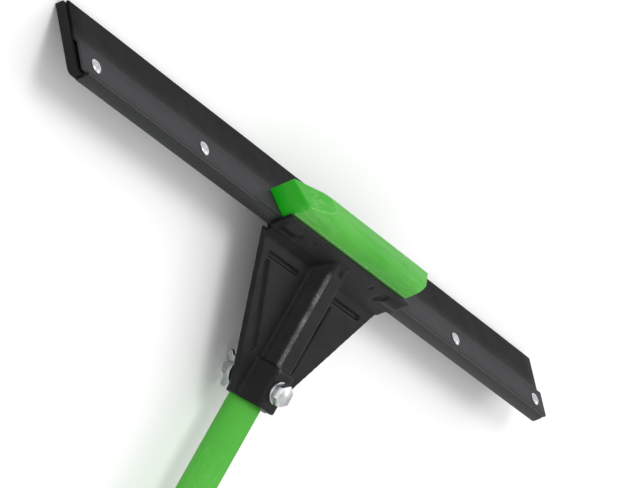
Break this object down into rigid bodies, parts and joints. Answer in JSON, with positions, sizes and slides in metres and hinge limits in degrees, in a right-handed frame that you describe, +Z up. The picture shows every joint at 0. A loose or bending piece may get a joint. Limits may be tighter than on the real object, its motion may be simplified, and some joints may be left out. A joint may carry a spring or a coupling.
{
  "type": "window cleaning squeegee",
  "caption": "Push squeegee with a twin black rubber blade, green centre cap, black fan bracket and green tube handle on a bolt and wing nut.",
  "frame": {"origin": "centre of the footprint of the whole tool as it lies on a floor, at floor height", "axes": "+X along the blade, +Y ahead of the tool from the handle's end cap towards the blade, +Z up"},
  "size_m": [0.61, 1.3028, 0.0547],
  "materials": {
    "rubber": "satin",
    "foam_rubber": "matte",
    "black_plastic": "fine grain",
    "black_steel": "satin",
    "green_plastic": "satin",
    "green_paint": "gloss",
    "zinc_steel": "zinc plated"
  },
  "bodies": {
    "squeegee": {"front_blade": "rubber", "rear_blade": "foam_rubber", "spine_bar": "black_steel", "rivet_left_1": "zinc_steel", "rivet_washer_left_1": "zinc_steel", "rivet_left_2": "zinc_steel", "rivet_washer_left_2": "zinc_steel", "rivet_right_1": "zinc_steel", "rivet_washer_right_1": "zinc_steel", "rivet_right_2": "zinc_steel", "rivet_washer_right_2": "zinc_steel", "centre_cap": "green_plastic", "bracket": "black_plastic", "head_bolt_left": "zinc_steel", "captive_nut_left": "zinc_steel", "head_bolt_right": "zinc_steel", "captive_nut_right": "zinc_steel", "clamp_bolt": "zinc_steel", "bolt_washer": "zinc_steel", "handle_tube": "green_paint", "end_cap": "black_plastic"},
    "washer_body": {"nut_washer": "zinc_steel"},
    "wing_nut_body": {"wing_nut": "zinc_steel"}
  },
  "joints": [
    {"name": "nut_travel", "type": "slide", "parent": "squeegee", "child": "washer_body", "axis": [0, 0.0136, -0.9999], "range_m": [0, 0.0016]},
    {"name": "nut_spin", "type": "hinge", "parent": "washer_body", "child": "wing_nut_body", "pos_m": [0, 0.53004, 0.02861], "axis": [0, 0.0136, -0.9999], "range_deg": [0, 450]}
  ],
  "couplings": [
    {"joint": "nut_travel", "follows": "nut_spin", "m_per_rad": 0.00019894}
  ]
}
